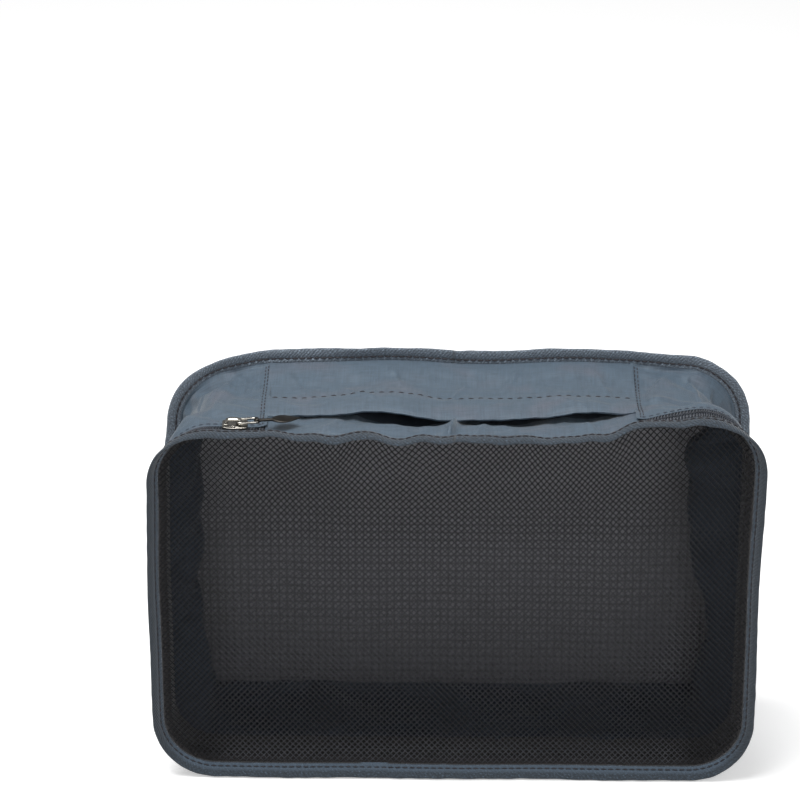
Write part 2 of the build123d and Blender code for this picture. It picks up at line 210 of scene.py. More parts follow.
def soften(points):
    """Settles drawn points the way the loose cloth hangs. Every soft piece uses it, so seams stay joined."""
    x, y, z = points[..., 0], points[..., 1], points[..., 2]
    top = smooth((z - HEIGHT * 0.5) / (HEIGHT * 0.5))
    front = smooth((8 - y) / 36)
    dx, dz = slump(x, y, z)
    dz = dz + top * (front * top_line(x) + (1 - front) * (1.6 * ripple(x, 0, 120, 4) + 0.8))
    away = 1 - bump_at(x, SLIDER_X, 20)
    edge = smooth((-28 - y) / 6) * smooth((z - HEIGHT * 0.75) / (HEIGHT * 0.2)) * away
    edge = edge * smooth((124 - np.abs(x)) / 22)
    dz = dz + edge * (2.4 * ripple(x, 0, 36, 7) + 1.0 * ripple(x, 0, 14, 8))
    behind_band = smooth((y - SEAM_Y) / 5) * smooth((8 - y) / 30)
    dy = edge * (2.2 * ripple(x, 0, 40, 9)) + 6.0 * behind_band * top * smooth((x - 78) / 34)
    dx = dx - 4.0 * top * bump_at(x, 88, 26)
    low = smooth((40 - z) / 40) * front
    dy = dy - 0.8 * low * ripple(x, 0, 70, 12)
    dx = dx + 2.0 * smooth(z / HEIGHT) * (1 - top * 0.5) * front * ripple(z, 0, 110, 10)
    return points + np.stack([dx, dy, dz], -1)


class Sheet:
    """A cloth surface on a grid, with u along the first index and v along the second."""

    def __init__(self, u, v, points):
        self.u, self.v, self.points = u, v, points

    def normals(self):
        n = np.cross(np.gradient(self.points, axis=0), np.gradient(self.points, axis=1))
        return n / np.maximum(np.linalg.norm(n, axis=-1, keepdims=True), 1e-9)

    def at(self, u, v):
        """Points and normals at (u, v), read between the grid's own."""
        u, v = np.broadcast_arrays(np.asarray(u, float), np.asarray(v, float))
        i = np.clip(np.interp(u, self.u, np.arange(len(self.u))), 0, len(self.u) - 1.001)
        j = np.clip(np.interp(v, self.v, np.arange(len(self.v))), 0, len(self.v) - 1.001)
        i0, j0 = i.astype(int), j.astype(int)
        fi, fj = (i - i0)[..., None], (j - j0)[..., None]
        found = []
        for grid in (self.points, self.normals()):
            low = grid[i0, j0] * (1 - fj) + grid[i0, j0 + 1] * fj
            high = grid[i0 + 1, j0] * (1 - fj) + grid[i0 + 1, j0 + 1] * fj
            found.append(low * (1 - fi) + high * fi)
        return found


# ------------------------------------------------------------------ meshes


def add_mesh(name, vertices, faces, materials, uv=None, face_material=None):
    """A new object from millimetre vertices, with uv in millimetres per vertex."""
    mesh = bpy.data.meshes.new(name)
    faces = faces.tolist() if isinstance(faces, np.ndarray) else faces
    mesh.from_pydata((np.asarray(vertices) * MM).tolist(), [], faces)
    for material in materials:
        mesh.materials.append(material)
    if face_material is not None:
        mesh.polygons.foreach_set("material_index", np.asarray(face_material, np.int32))
    if uv is not None:
        layer = mesh.uv_layers.new(name="cloth")
        index = np.zeros(len(mesh.loops), np.int32)
        mesh.loops.foreach_get("vertex_index", index)
        layer.data.foreach_set("uv", np.asarray(uv, np.float32)[index].ravel())
    mesh.polygons.foreach_set("use_smooth", np.ones(len(mesh.polygons), bool))
    mesh.validate()
    obj = bpy.data.objects.new(name, mesh)
    bpy.context.scene.collection.objects.link(obj)
    return obj


def quads(rows, columns, closed_rows=False, closed_columns=False, first=0):
    """Faces of a grid of vertices numbered row by row."""
    i = np.arange(rows if closed_rows else rows - 1)[:, None]
    j = np.arange(columns if closed_columns else columns - 1)[None, :]
    i1, j1 = (i + 1) % rows, (j + 1) % columns
    around_face = [a * columns + b + first for a, b in ((i, j), (i1, j), (i1, j1), (i, j1))]
    return np.stack(np.broadcast_arrays(*around_face), -1).reshape(-1, 4)


def tube_faces(rows, columns, closed=False, first=0):
    """Faces of a tube whose columns run round its section, closed into a ring or capped at both ends."""
    faces = quads(rows, columns, closed, True, first).tolist()
    if closed:
        return faces
    last = first + (rows - 1) * columns
    return faces + [[first + k for k in range(columns)], [last + k for k in range(columns)][::-1]]


def ring_angles(count):
    return 2 * math.pi * np.arange(count) / count


def cloth_mesh(name, sheet, thickness, outside, inside, uv=None, capped=(True, True), shaded_from=None):
    """A thin cloth piece: outer skin on the sheet, inner skin thickness below, crisp rims between.

    capped says whether the first and last rows get a rim; one that meets its other half there has none.
    The outer skin takes the inside material where v is beyond shaded_from, as painted shade.
    """
    rows, columns = sheet.points.shape[:2]
    lower = sheet.points - sheet.normals() * thickness
    vertices = np.concatenate([sheet.points.reshape(-1, 3), lower.reshape(-1, 3)])
    outer = quads(rows, columns)
    inner = outer[:, ::-1] + rows * columns
    rims = []

    def add_rim(a, b, flip):
        rim = np.stack([b, a, a + rows * columns, b + rows * columns], -1)
        rims.append(rim[:, ::-1] if flip else rim)

    for j, flip in ((0, False), (columns - 1, True)):
        i = np.arange(rows - 1)
        add_rim(i * columns + j, (i + 1) * columns + j, flip)
    for i, flip, wanted in ((0, True, capped[0]), (rows - 1, False, capped[1])):
        if wanted:
            j = np.arange(columns - 1)
            add_rim(i * columns + j, i * columns + j + 1, flip)
    faces = np.concatenate([outer, inner] + rims)
    slots = np.zeros(len(faces))
    slots[len(outer) : 2 * len(outer)] = 1
    if uv is None:
        uv = np.stack(np.meshgrid(sheet.u, sheet.v, indexing="ij"), -1)
    uv = np.tile(uv.reshape(-1, 2), (2, 1))
    if shaded_from is not None:
        slots[: len(outer)] = sheet.v[outer[:, 0] % columns] > shaded_from
    obj = add_mesh(name, vertices, faces, [outside, inside], uv, slots)
    border = np.zeros((rows, columns), bool)
    border[:, [0, -1]] = True
    border[0] |= capped[0]
    border[-1] |= capped[1]
    sharpen(obj, np.tile(border.ravel(), 2), rows * columns)
    subdivide(obj)
    return obj


def sharpen(obj, border, layer):
    """Keeps the cut edges crisp: edges between border vertices of one skin."""
    mesh = obj.data
    ends = np.zeros(len(mesh.edges) * 2, np.int32)
    mesh.edges.foreach_get("vertices", ends)
    ends = ends.reshape(-1, 2)
    crisp = border[ends].all(1) & (ends[:, 0] // layer == ends[:, 1] // layer)
    mesh.attributes.new("sharp_edge", "BOOLEAN", "EDGE").data.foreach_set("value", crisp)
    mesh.attributes.new("crease_edge", "FLOAT", "EDGE").data.foreach_set("value", crisp.astype(np.float32))


def subdivide(obj):
    modifier = obj.modifiers.new("smooth", "SUBSURF")
    modifier.levels = modifier.render_levels = 1


def stitches(name, runs, material, length=2.6, width=0.55, pitch=3.3):
    """Short raised thread dashes along each run. A run is (points, normals), sampled finely."""
    sides, rings, sunk = 6, np.linspace(-0.5, 0.5, 5), 0.12
    angles, arch = ring_angles(sides), 1 - (2 * rings) ** 2
    vertices, faces = [], []
    for points, normals in runs:
        distance = distances(points)
        count = max(1, int(distance[-1] / pitch))
        for middle in (np.arange(count) + 0.5) * distance[-1] / count:
            where = middle + rings * length
            centre, up = between(where, distance, points), between(where, distance, normals)
            side = np.cross(up, unit(centre[-1] - centre[0]))
            faces += tube_faces(len(rings), sides, first=len(vertices) * sides)
            for k in range(len(rings)):
                radius = width / 2 * (0.35 + 0.65 * math.sqrt(arch[k]))
                offset = np.outer(np.cos(angles), side[k]) + np.outer(np.sin(angles), up[k])
                vertices.append(centre[k] + up[k] * (arch[k] * width * 0.55 - sunk) + offset * radius)
    return add_mesh(name, np.concatenate(vertices), faces, [material])


# ------------------------------------------------------------------ materials


class Shader:
    """A node material: node() adds a node and fills or links its inputs by name."""

    def __init__(self, name):
        self.material = bpy.data.materials.new(name)
        self.material.use_nodes = True
        self.tree = self.material.node_tree
        self.surface = self.tree.nodes["Principled BSDF"]

    def node(self, kind, inputs, out=0, **settings):
        node = self.tree.nodes.new("ShaderNode" + kind)
        for key, value in settings.items():
            setattr(node, key, value)
        self.fill(node, inputs)
        return node.outputs[out]

    def fill(self, node, inputs):
        for key, value in inputs.items():
            socket = node.inputs[key]
            if isinstance(value, bpy.types.NodeSocket):
                self.tree.links.new(value, socket)
            else:
                socket.default_value = value

    def math(self, operation, a, b=0.0):
        return self.node("Math", {0: a, 1: b}, operation=operation)

    def mix(self, factor, a, b):
        return self.node("Mix", {0: factor, 6: a, 7: b}, out=2, data_type="RGBA")

    def noise(self, vector, scale, detail=3.0, roughness=0.55):
        settings = {"Vector": vector, "Scale": scale, "Detail": detail, "Roughness": roughness}
        return self.node("TexNoise", settings)

    def ramp(self, value, low, high, a=0.0, b=1.0):
        return self.node("MapRange", {0: value, 1: low, 2: high, 3: a, 4: b})

    def object_axes(self):
        """The object coordinates, in metres: the vector and its three parts."""
        vector = self.node("TexCoord", {}, out=3)
        return (vector, *self.node("SeparateXYZ", {0: vector}).node.outputs)

    def cloth_axes(self):
        """The cloth's own coordinates, in millimetres: the vector, u and v."""
        vector = self.node("UVMap", {}, uv_map="cloth")
        u, v, _ = self.node("SeparateXYZ", {0: vector}).node.outputs
        return vector, u, v

    def stretched(self, uv, x, y):
        return self.node("VectorMath", {0: uv, 1: (x, y, 1.0)}, operation="MULTIPLY")

    def lines(self, axis, period, sharpness):
        """Thin ridges across an axis, one each period."""
        wave = self.math("SINE", self.math("MULTIPLY", axis, 2 * math.pi / period))
        wave = self.node("Math", {0: wave, 1: 0.5, 2: 0.5}, operation="MULTIPLY_ADD")
        return self.math("POWER", wave, sharpness)

    def bump(self, height, distance, strength):
        return self.node("Bump", {"Height": height, "Distance": distance * MM, "Strength": strength})

    def finish(self, **inputs):
        self.fill(self.surface, {key.replace("_", " "): value for key, value in inputs.items()})
        return self.material


def linear(*display):
    """An 8-bit display colour as the linear colour that a shader takes."""
    shares = [c / 255 for c in display]
    return (*(c / 12.92 if c <= 0.04045 else ((c + 0.055) / 1.055) ** 2.4 for c in shares), 1.0)


def scaled(colour, factor):
    """A lighter or darker version of a linear colour."""
    return (*(min(1, c * factor) for c in colour[:3]), 1.0)


def nylon(name, colour, tone_and_sheen, grid=0.0, roughness=0.5, sheen=0.25, lower=1.0, faded=1.0):
    """Light taffeta: fine warp and weft streaks, and cloudy patches of a second colour: random tone, and on
    the slate nylon a painted sheen.

    grid above 0 adds a ripstop grid of dark threads. On the lower part of the v axis, lower dims the cloth as
    painted shade;
    on the upper part, faded weakens the grid.
    """
    s = Shader(name)
    uv, u, v = s.cloth_axes()
    warp = s.noise(s.stretched(uv, 1.5, 0.06), 1.0, 3.0, 0.75)
    weft = s.noise(s.stretched(uv, 0.09, 1.5), 1.0, 3.0, 0.75)
    streak = s.math("ADD", warp, weft)
    cloud = s.noise(s.stretched(uv, 0.035, 0.05), 1.0, 4.0)
    # Cloudy patches of the second colour; on the slate nylon they are a painted sheen.
    base = s.mix(s.ramp(cloud, 0.5, 0.72), colour, tone_and_sheen)
    base = s.mix(s.ramp(streak, 0.8, 1.15, 0.75, 0.0), base, scaled(colour, 0.6))
    height = streak
    # Painted shade: darker on the lower part of the v axis.
    if lower < 1:
        base = s.mix(s.ramp(v, 142, 108), base, scaled(colour, lower))
    if grid:
        ridges = s.math("MAXIMUM", s.lines(u, 3.67, 5), s.lines(v, 4.2, 5))
        strength = s.ramp(v, 118, 92, grid * faded, grid) if faded < 1 else grid
        base = s.mix(s.math("MULTIPLY", ridges, strength), base, scaled(colour, 0.05))
        height = s.math("ADD", streak, s.math("MULTIPLY", ridges, 1.6))
    fine = s.math("ADD", s.lines(u, 0.5, 2), s.lines(v, 0.5, 2))
    normal = s.bump(s.math("ADD", height, s.math("MULTIPLY", fine, 0.5)), 0.12, 0.7)
    rough = s.ramp(cloud, 0.3, 0.7, roughness - 0.08, roughness + 0.1)
    return s.finish(Base_Color=base, Roughness=rough, Normal=normal, Sheen_Weight=sheen, Sheen_Roughness=0.4)


def tape(name, colour, rib=1.7, roughness=0.75, speckle=1.0, pale_by_seam=0.0, shade_at_sides=None):
    """Woven tape: slanted twill ribs and speckled yarn, paler beside the seam.

    The last argument paints shade on the sides: (start, end, share of the dark colour beyond), with the first
    two in metres from the middle.
    """
    s = Shader(name)
    uv, u, v = s.cloth_axes()
    slant = s.math("ADD", u, s.math("MULTIPLY", v, 0.9))
    ribs = s.lines(slant, rib, 1.5)
    fleck = s.noise(s.stretched(uv, 0.9, 1.4), 1.0, 4.0, 0.75)
    light, dark = scaled(colour, 2.3), scaled(colour, 0.45)
    base = s.mix(s.ramp(fleck, 0.4, 0.62), dark, colour)
    base = s.mix(s.ramp(fleck, 0.54, 0.7, 0.0, speckle), base, light)
    base = s.mix(s.math("MULTIPLY", ribs, 0.45), base, dark)
    if pale_by_seam:
        base = s.mix(s.math("MULTIPLY", s.ramp(v, 5.0, 3.4), pale_by_seam), base, light)
    # Painted shade: the tape darkens towards the sides.
    if shade_at_sides:
        start, end, share = shade_at_sides
        _, across, _, _ = s.object_axes()
        base = s.mix(s.ramp(s.math("ABSOLUTE", across), start, end, 0.0, share), base, dark)
    normal = s.bump(s.math("ADD", ribs, fleck), 0.25, 0.8)
    return s.finish(Base_Color=base, Roughness=roughness, Normal=normal, Sheen_Weight=0.25)


def yarn(name, colour, roughness=0.7, light_by_height=(), shade_at_sides=None):
    """Thread, net strands and zip coil: faint colour change along the strand.

    The height list gives (upper height, lower height, colour below), in metres, for strands whose painted
    light and shade change downwards.
    The last argument paints shade on the sides: (start, end, colour beyond), in metres from the middle.
    """
    s = Shader(name)
    position, across, _, up = s.object_axes()
    # Painted light and shade: the strand colour changes with height.
    for upper, lower, below in light_by_height:
        colour = s.mix(s.ramp(up, upper, lower), colour, below)
    # Painted shade: the strands darken towards the sides.
    if shade_at_sides:
        start, end, beyond = shade_at_sides
        colour = s.mix(s.ramp(s.math("ABSOLUTE", across), start, end), colour, beyond)
    wear = s.noise(position, 260.0, 3.0)
    bright = s.node("HueSaturation", {"Value": s.ramp(wear, 0.3, 0.7, 0.85, 1.3), "Color": colour})
    normal = s.bump(s.noise(position, 2600.0, 2.0), 0.06, 0.5)
    return s.finish(Base_Color=bright, Roughness=roughness, Normal=normal)


def metal(name, colour, roughness):
    """Plated zinc with soft casting marks and worn, rougher patches; the patches' darker colour and the
    darker rims that turn from view are painted dark reflection.
    """
    s = Shader(name)
    position, *_ = s.object_axes()
    wear_and_dark_reflection = s.noise(position, 300.0, 2.0)
    # The worn patches also darken the colour: painted dark reflection.
    base = s.mix(s.ramp(wear_and_dark_reflection, 0.35, 0.65), scaled(colour, 0.55), colour)
    # Darker rims where the surface turns from view: painted dark reflection.
    edge = s.node("LayerWeight", {"Blend": 0.55}, out=1)
    base = s.mix(s.ramp(edge, 0.35, 0.75), base, scaled(colour, 0.12))
    rough = s.ramp(wear_and_dark_reflection, 0.3, 0.7, roughness + 0.1, roughness)
    normal = s.bump(s.noise(position, 500.0, 2.0), 0.02, 0.3)
    return s.finish(Base_Color=base, Metallic=1.0, Roughness=rough, Normal=normal)


# Slate nylon; its second, pinker colour is a painted sheen in patches.
SLATE = nylon("slate_nylon", linear(80, 97, 112), linear(93, 99, 111))
# A darker copy of the slate nylon, for the cube's inside and the cloth under the handle: painted shade.
NYLON_PAINTED_SHADE = nylon("nylon_inner_painted_shade", linear(53, 63, 76), linear(45, 52, 63), roughness=0.7, sheen=0.1)
RIPSTOP = nylon("ripstop_outer", linear(98, 112, 125), linear(90, 100, 114), grid=0.3)
# Inner face of the back panel, darker on its lower part as painted shade.
RIPSTOP_INNER = nylon("ripstop_inner", linear(170, 170, 176), linear(160, 161, 168), grid=0.62,
                      roughness=0.7, lower=0.66, faded=0.1)
# One binding tape in two copies: the front one darker as painted shade, the back one lighter as painted
# light.
FRONT_TAPE = tape("binding_tape_front_painted_shade", linear(56, 68, 80), speckle=1.2, pale_by_seam=0.6,
                  shade_at_sides=(0.124, 0.134, 0.6))
BACK_TAPE = tape("binding_tape_back_painted_light", linear(122, 134, 147), speckle=0.7, pale_by_seam=0.3)
ZIP_TAPE = tape("zip_tape", linear(74, 82, 92), rib=0.9)
# Inner face of the zip tape, darker than the outer face: painted shade inside the cube.
ZIP_TAPE_PAINTED_SHADE = tape("zip_tape_inner_painted_shade", linear(34, 31, 33), rib=0.8)
# Net strands: nearly black under the front flange, lighter lower down, a darker band near the foot, lighter
# at the very bottom and darker towards the sides: painted light and shade.
NET = yarn("net_yarn", linear(12, 12, 16), light_by_height=(
    (0.15, 0.115, linear(50, 51, 56)),
    (0.06, 0.035, linear(22, 23, 28)),
    (0.024, 0.012, linear(62, 63, 68)),
), shade_at_sides=(0.1, 0.114, linear(24, 25, 30)))
COIL = yarn("zip_coil", linear(72, 76, 84), roughness=0.32)
THREAD = yarn("dark_thread", linear(46, 42, 46))
THREAD_LIGHT = yarn("seam_thread", linear(64, 72, 84))
CHROME = metal("slider_plating", linear(214, 210, 202), 0.14)
GUNMETAL = metal("tab_plating", linear(92, 88, 84), 0.3)


# ------------------------------------------------------------------ body cloth


def simulate(sheet, pinned, growth, frames):
    """Lets a grid of cloth that is slightly too long buckle between its pinned seams."""
    rows, columns = sheet.points.shape[:2]
    obj = add_mesh("cloth_run", sheet.points.reshape(-1, 3), quads(rows, columns), [])
    group = obj.vertex_groups.new(name="pin")
    for index, weight in enumerate(pinned.ravel()):
        if weight > 0:
            group.add([index], float(weight), "REPLACE")
    cloth = obj.modifiers.new("cloth", "CLOTH")
    settings = {"vertex_group_mass": "pin", "quality": 6, "mass": 0.0001, "tension_stiffness": 20,
                "compression_stiffness": 20, "shear_stiffness": 8, "bending_stiffness": 0.4,
                "air_damping": 3, "shrink_min": -growth}
    for key, value in settings.items():
        setattr(cloth.settings, key, value)
    cloth.settings.effector_weights.gravity = 0.0
    cloth.collision_settings.use_collision = False
    cloth.point_cache.frame_start, cloth.point_cache.frame_end = 1, frames
    scene = bpy.context.scene
    for number in range(1, frames + 1):
        scene.frame_set(number)
    result = obj.evaluated_get(bpy.context.evaluated_depsgraph_get())
    settled = np.zeros(rows * columns * 3)
    result.data.vertices.foreach_get("co", settled)
    bpy.data.objects.remove(obj)
    scene.frame_set(1)
    return settled.reshape(rows, columns, 3) / MM


def gusset_inset(s, y):
    """Drawn inset of the gusset: flat by the zip, pulled in along the sides, back out at the seam."""
    point, normal = around(s)
    depth = smooth((y + 17) / 22) * smooth((BACK_SEAM_Y + 3 - y) / 34)
    side = np.abs(normal[..., 0]) ** 2
    right = normal[..., 0] > 0
    high = smooth((point[..., 1] - 40) / 70)
    reach = np.where(right, 14 + 8 * high, 15)
    bottom = np.maximum(0, -normal[..., 1]) ** 2
    top = np.maximum(0, normal[..., 1]) ** 2
    bottom_corner = 4 * side * bottom
    pull = side * reach + top * 2.5 + bottom * 0.5 + bottom_corner * 7
    seam = (BINDING + 1.3 - GUSSET_INSET) * smooth((y - 16) / 18)
    seam = seam - 2.0 * smooth((y - BACK_SEAM_Y + 1.3) / 1.3)
    return GUSSET_INSET + seam + depth * pull


GUSSET_CREASES = [  # (start, end, width, height), in distance from the middle of the top and depth
    ((-107, 36), (-109, -12), 2.2, 1.6), ((-106, 34), (-92, 14), 2.0, 1.3), ((-104, 35), (-118, 8), 2.4, 1.4),
    ((-124, 30), (-136, -6), 2.8, 1.5), ((90, 4), (120, 7), 2.2, 1.5), ((112, 33), (124, -6), 2.2, 1.7),
    ((100, 30), (92, 10), 2.0, 1.0), ((150, 30), (165, -8), 3.0, 1.8), ((-160, 28), (-190, -5), 3.2, 1.6),
    ((190, 25), (215, 0), 3.0, 1.6), ((-230, 20), (-250, -8), 3.0, 1.5), ((252, 28), (262, -10), 3.0, 1.4),
]


def make_gusset():
    """Side and bottom cloth, from the right end seam round to the left one."""
    start = HINGE_HALF - 0.8
    s = np.linspace(start, PERIMETER - start, 320)
    y = np.concatenate([[GUSSET_EDGE_Y, GUSSET_EDGE_Y + 0.8],
                        np.linspace(GUSSET_EDGE_Y + 2.2, BACK_SEAM_Y - 1.2, 28),
                        [BACK_SEAM_Y - 0.6, BACK_SEAM_Y]])
    grid_s, grid_y = np.meshgrid(s, y, indexing="ij")
    inset = gusset_inset(grid_s, grid_y)
    inner = 1 - smooth(np.minimum(grid_s - start, PERIMETER - start - grid_s) / 4)
    inset = inset - 1.5 * inner
    free = smooth((grid_y + 18) / 10) * smooth((BACK_SEAM_Y - 3 - grid_y) / 8)
    inset = inset + free * (1.6 * ripple(grid_s, grid_y, 42, 21) + 0.8 * ripple(grid_s, grid_y, 17, 22))
    x = np.where(grid_s > PERIMETER / 2, grid_s - PERIMETER, grid_s)
    for fold in GUSSET_CREASES:
        inset = inset - 1.7 * free * crease(x, grid_y, *fold)
    sheet = Sheet(s, y, soften(ring_points(grid_s, grid_y, inset)))
    pinned = np.ones(grid_s.shape)
    pinned[3:-3, 3:-2] = 0
    shift = simulate(sheet, pinned, growth=0.05, frames=20) - sheet.points
    size = np.linalg.norm(shift, axis=-1, keepdims=True)
    sheet.points = sheet.points + shift * np.minimum(1, 5.0 / np.maximum(size, 1e-6))
    return sheet, cloth_mesh("gusset_cloth", sheet, CLOTH, SLATE, NYLON_PAINTED_SHADE)


def top_height(y):
    """Height of the cloth along the top, between the handle's ends."""
    waist = 1.5 * smooth((y + 13) / 25)
    return TOP - waist + 3.0 * smooth((y - 13) / 24)


def make_hinge():
    """One cloth from the lid's seam over the fold and under the handle to the back seam."""
    x = np.linspace(-HINGE_HALF, HINGE_HALF, 190)
    y = np.concatenate([np.linspace(SEAM_Y - 0.8, -11, 26), np.linspace(-9.5, BACK_SEAM_Y - 5, 15),
                        BACK_SEAM_Y - np.array([4, 3, 2.2, 1.5, 0.8, 0])])
    gx, gy = np.meshgrid(x, y, indexing="ij")
    z = top_height(gy)
    ends = smooth((HINGE_HALF - np.abs(gx)) / 16)
    under = np.where(gy < -9, bump_at(gy, -9, 6), 1 - smooth((gy - 10) / 24)) * ends
    z = z - under * (7.5 * bump_at(gx, -22, 18) + 5.0 * bump_at(gx, 24, 18) + 2.2 * bump_at(gx, 62, 14) + 1.8)
    z = z + 1.2 * smooth((gy - BACK_SEAM_Y + 1) / 1) - 1.3 * bump_at(gy, BACK_SEAM_Y - 1.6, 1.3)
    z = z + (GUSSET_INSET - SEAM_INSET) * (1 - smooth((gy - SEAM_Y) / 5))
    belly = bump_at(gy, -26, 7) * ends
    z = z + belly * (1.7 * bump_at(gx, -40, 22) + 1.5 * bump_at(gx, 36, 20) + 0.5)
    z = z + crease(gx, gy, (1, -8), (-3, -31), 3.0, 5.0) * ends
    z = z + crease(gx, gy, (14, -14), (9, -28), 2.4, 1.2) * ends
    z = z + crease(gx, gy, (-52, -14), (-60, -30), 3.0, 1.1) + crease(gx, gy, (60, -16), (66, -30), 2.6, 0.9)
    loose = ends * smooth((gy + 34) / 6) * smooth((14 - gy) / 18)
    z = z + loose * (0.9 * ripple(gx, gy, 26, 31) + 0.4 * ripple(gx, gy, 10, 32))
    sheet = Sheet(x, y, soften(np.stack([gx, gy, z], -1)))
    # Under the handle the outer skin takes the darker nylon: painted shade.
    return cloth_mesh("hinge_cloth", sheet, CLOTH, SLATE, NYLON_PAINTED_SHADE, shaded_from=-8)


def handle_lift(x):
    """How far the handle's free front edge stands off the cloth below it."""
    return 2.3 * bump_at(x, -32, 22) + 1.7 * bump_at(x, 58, 22) + 0.5 * bump_at(x, 6, 12) + 0.2


def handle_reach(x):
    """How far the free front edge is drawn back from its straight line."""
    return 1.8 * bump_at(x, -44, 20) - 1.6 * bump_at(x, -4, 20) + 2.4 * bump_at(x, 56, 18)


HANDLE_CREASES = [  # (start, end, width, height), in x and y
    ((-52, 16), (-36, -2), 1.8, 1.0), ((-30, 34), (-24, 12), 2.0, 0.9), ((-78, 30), (-68, 8), 2.0, 0.9),
    ((30, 33), (22, 10), 2.2, 0.9), ((66, 32), (74, 6), 2.0, 0.8), ((6, 20), (-6, -6), 1.8, 0.8),
    ((44, 4), (60, -10), 2.2, 1.0), ((-84, 4), (-70, -8), 2.0, 0.8),
]


def make_handle():
    """The grab handle in two halves, each sewn at its outer end and at the back seam."""
    halves = []
    front, back = HANDLE_LOW[1], BACK_SEAM_Y - 0.1
    y = np.concatenate([[front, front + 0.5], np.linspace(front + 1.5, back, 34)])
    for side, name in LEFT_RIGHT:
        x = np.linspace(0, side * (HANDLE_HALF + 1.2), 84)[:: side]
        gx, gy = np.meshgrid(x, y, indexing="ij")
        sewn = smooth((HANDLE_HALF - np.abs(gx)) / 16)
        free = smooth((24 - gy) / 38)
        z = top_height(gy) + 1.1 + sewn * free * handle_lift(gx)
        loose = sewn * smooth((back - 2 - gy) / 12)
        waves = 0.9 * ripple(gx, gy, 38, 41) + 0.5 * ripple(gx, gy, 15, 42) + 0.2 * ripple(gx, gy, 7, 43)
        z = z + loose * waves
        for fold in HANDLE_CREASES:
            z = z + 1.5 * loose * crease(gx, gy, *fold)
        z = z - 0.5 * smooth((gy - front - HEM) / 1.6) - 0.4 * sewn * bump_at(gy, front + HEM, 1.5)
        curl = 0.7 * bump_at(gy, front, 1.4)
        pulled = gy + sewn * handle_reach(gx) * smooth((front + 18 - gy) / 18)
        sheet = Sheet(x, y, soften(np.stack([gx, pulled, z - curl], -1)))
        capped = (True, False) if side < 0 else (False, True)
        piece = cloth_mesh(f"handle_cloth_{name}", sheet, 0.8, SLATE, NYLON_PAINTED_SHADE, capped=capped)
        halves.append((side, name, sheet, piece))
    return halves


def make_back_panel():
    """Ripstop back panel with a slight belly, as a grid squeezed into the rounded outline."""
    inset = 5.4
    radius = RADIUS - inset
    curve = radius * (1 - np.cos(np.linspace(0, math.pi / 2, 14)))
    z = np.concatenate([inset + curve, np.linspace(inset + radius, HEIGHT - inset - radius, 50)[1:-1],
                        HEIGHT - inset - curve[::-1]])
    past = np.maximum(0, np.abs(z - HEIGHT / 2) - (HEIGHT / 2 - inset - radius))
    half = WIDTH / 2 - inset - radius + np.sqrt(np.maximum(0, radius**2 - past**2))
    u = np.linspace(-1, 1, 120)
    gx = u[:, None] * half[None, :]
    gz = np.broadcast_to(z, gx.shape)
    belly = smooth((1 - np.abs(gx) / (WIDTH / 2)) * 3) * smooth((1 - np.abs(2 * gz / HEIGHT - 1)) * 3)
    dent = belly * (1.6 * ripple(gx, gz, 95, 51) + 0.7 * ripple(gx, gz, 30, 52) - 0.6)
    dent = dent + belly * 1.4 * bump_at(gz - 128 + 0.06 * gx, 0, 16) * smooth((80 - np.abs(gx + 10)) / 60)
    gy = np.full(gx.shape, BACK_Y - 1.2) + np.clip(dent, -2.4, 1.0)
    uv = np.stack([gx, gz], -1)
    sheet = Sheet(u, z, soften(np.stack([gx, gy, gz], -1)))
    return cloth_mesh("back_cloth", sheet, 0.2, RIPSTOP_INNER, RIPSTOP, uv)


# ------------------------------------------------------------------ bindings and stitching


def flange(s, along, across):
    """Point in the front flange: along from the seam to the free edge, across towards the net.

    Along the top it starts nearly flat and curls over forwards; round the sides and bottom it is straighter.
    """
    point, normal = around(s)
    top = np.maximum(0, normal[..., 1]) ** 2
    bottom = np.maximum(0, -normal[..., 1]) ** 2
    wave = 10 * ripple(s, 0, 44, 61) + 6 * ripple(s, 0, 18, 62)
    along = along * (1 - 0.15 * top)
    across = across * (1 - 0.25 * top)
    first = np.radians(40 + 20 * top + 10 * bottom + wave * (0.3 + 0.7 * top))
    bend = np.radians(2.5 + 12 * top + 0.07 * wave * top)
    last = first + bend * along
    y = SEAM_Y - (np.cos(first) - np.cos(last)) / bend - np.cos(last) * across
    inset = SEAM_INSET - (np.sin(last) - np.sin(first)) / bend + np.sin(last) * across - 0.2 * bottom * along
    return soften(ring_points(s, y, inset))


def back_flange(s, along, across):
    """Point in the back flange: along from the seam to the free edge, across towards the back."""
    tilt = np.radians(12 * ripple(s, 0, 60, 63) + 6 * ripple(s, 0, 22, 64) + 3)
    y = BACK_Y - 1.1 - np.sin(tilt) * along + np.cos(tilt) * across
    inset = BINDING - np.cos(tilt) * along - np.sin(tilt) * across
    return soften(ring_points(s, y, inset))


# (along, half thickness): raised inner lip, groove under the stitches, soft roll at the edge
BINDING_SECTION = [
    (0.0, 0.5), (0.3, 0.86), (1.2, 0.92), (1.9, 0.62), (2.25, 0.36), (2.6, 0.62), (3.4, 0.84),
    (4.8, 0.86), (5.9, 0.72), (6.5, 0.46), (6.7, 0.0),
]


